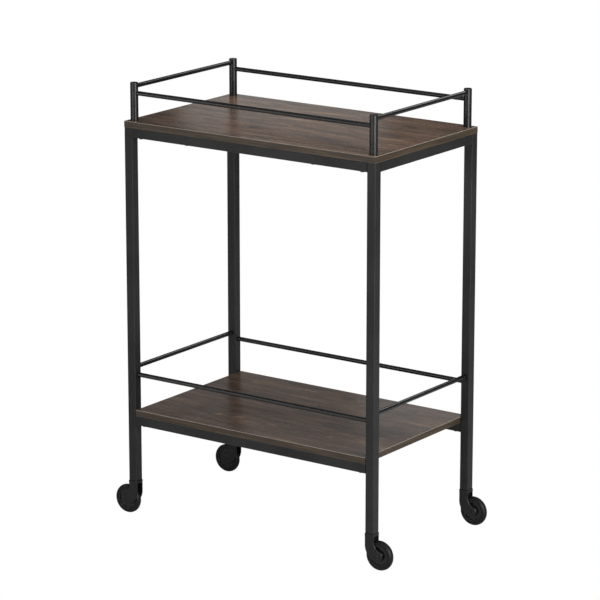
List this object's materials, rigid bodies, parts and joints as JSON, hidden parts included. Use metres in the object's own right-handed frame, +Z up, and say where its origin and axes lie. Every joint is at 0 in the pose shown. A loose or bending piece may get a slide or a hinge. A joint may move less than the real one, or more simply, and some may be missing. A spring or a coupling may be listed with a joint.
{
  "type": "bar cart on casters",
  "caption": "Rectangular two-tier bar cart: square-tube steel frame, wood-grain boards, round guard posts and rods, swivel casters.",
  "frame": {"origin": "on the floor, under the centre of the cart's bounding box at rest", "axes": "+X along the cart's length towards its right end, -Y is the front, +Z up"},
  "size_m": [0.6754, 0.3592, 0.889],
  "materials": {
    "black_steel": "satin black powder coat on square and round steel tube",
    "post_cap_steel": "satin black powder coat",
    "black_screws": "black oxide",
    "black_rivets": "blackened steel",
    "walnut_board": "matt grey-brown walnut laminate on board",
    "walnut_edging": "matt walnut-grain edging",
    "zinc_steel": "zinc plated",
    "black_plastic": "moulded black nylon, fine texture",
    "wheel_plastic": "moulded black plastic, smooth",
    "wheel_rubber": "soft black thermoplastic rubber"
  },
  "bodies": {
    "frame": {"leg_front_left": "black_steel", "leg_front_right": "black_steel", "leg_rear_left": "black_steel", "leg_rear_right": "black_steel", "guard_post_front_left": "black_steel", "guard_post_front_right": "black_steel", "guard_post_rear_left": "black_steel", "guard_post_rear_right": "black_steel", "leg_top_plates": "black_steel", "top_rail_front": "black_steel", "top_rail_rear": "black_steel", "top_rail_left": "black_steel", "top_rail_right": "black_steel", "lower_rail_front": "black_steel", "lower_rail_rear": "black_steel", "top_rail_spigots": "black_steel", "lower_rail_spigots": "black_steel", "post_inserts": "black_steel", "top_rod_front": "black_steel", "top_rod_rear": "black_steel", "top_rod_left": "black_steel", "top_rod_right": "black_steel", "lower_rod_front": "black_steel", "lower_rod_rear": "black_steel", "lower_rod_left": "black_steel", "lower_rod_right": "black_steel", "top_rail_screws": "black_screws", "lower_rail_screws": "black_screws", "top_board_screws": "black_screws", "lower_board_screws": "black_screws", "top_board": "walnut_board", "lower_board": "walnut_board", "top_board_edging": "walnut_edging", "lower_board_edging": "walnut_edging", "post_caps": "post_cap_steel", "post_studs": "zinc_steel", "grip_rings": "zinc_steel", "caster_sockets": "black_plastic"},
    "swivel_front_left": {"caster_yoke_front_left": "black_plastic", "caster_stem_front_left": "zinc_steel", "caster_axle_front_left": "black_rivets"},
    "wheel_front_left": {"wheel_hub_front_left": "wheel_plastic", "wheel_tyre_front_left": "wheel_rubber"},
    "swivel_front_right": {"caster_yoke_front_right": "black_plastic", "caster_stem_front_right": "zinc_steel", "caster_axle_front_right": "black_rivets"},
    "wheel_front_right": {"wheel_hub_front_right": "wheel_plastic", "wheel_tyre_front_right": "wheel_rubber"},
    "swivel_rear_left": {"caster_yoke_rear_left": "black_plastic", "caster_stem_rear_left": "zinc_steel", "caster_axle_rear_left": "black_rivets"},
    "wheel_rear_left": {"wheel_hub_rear_left": "wheel_plastic", "wheel_tyre_rear_left": "wheel_rubber"},
    "swivel_rear_right": {"caster_yoke_rear_right": "black_plastic", "caster_stem_rear_right": "zinc_steel", "caster_axle_rear_right": "black_rivets"},
    "wheel_rear_right": {"wheel_hub_rear_right": "wheel_plastic", "wheel_tyre_rear_right": "wheel_rubber"}
  },
  "joints": [
    {"name": "caster_swivel_front_left", "type": "hinge", "parent": "frame", "child": "swivel_front_left", "pos_m": [-0.28892, -0.16828, 0.0724], "axis": [0, 0, 1], "continuous": true},
    {"name": "wheel_spin_front_left", "type": "hinge", "parent": "swivel_front_left", "child": "wheel_front_left", "pos_m": [-0.30797, -0.16828, 0.02975], "axis": [0, 1, 0], "continuous": true},
    {"name": "caster_swivel_front_right", "type": "hinge", "parent": "frame", "child": "swivel_front_right", "pos_m": [0.28892, -0.16828, 0.0724], "axis": [0, 0, 1], "continuous": true},
    {"name": "wheel_spin_front_right", "type": "hinge", "parent": "swivel_front_right", "child": "wheel_front_right", "pos_m": [0.30797, -0.16828, 0.02975], "axis": [0, 1, 0], "continuous": true},
    {"name": "caster_swivel_rear_left", "type": "hinge", "parent": "frame", "child": "swivel_rear_left", "pos_m": [-0.28892, 0.16828, 0.0724], "axis": [0, 0, 1], "continuous": true},
    {"name": "wheel_spin_rear_left", "type": "hinge", "parent": "swivel_rear_left", "child": "wheel_rear_left", "pos_m": [-0.30797, 0.16828, 0.02975], "axis": [0, 1, 0], "continuous": true},
    {"name": "caster_swivel_rear_right", "type": "hinge", "parent": "frame", "child": "swivel_rear_right", "pos_m": [0.28892, 0.16828, 0.0724], "axis": [0, 0, 1], "continuous": true},
    {"name": "wheel_spin_rear_right", "type": "hinge", "parent": "swivel_rear_right", "child": "wheel_rear_right", "pos_m": [0.30797, 0.16828, 0.02975], "axis": [0, 1, 0], "continuous": true}
  ]
}
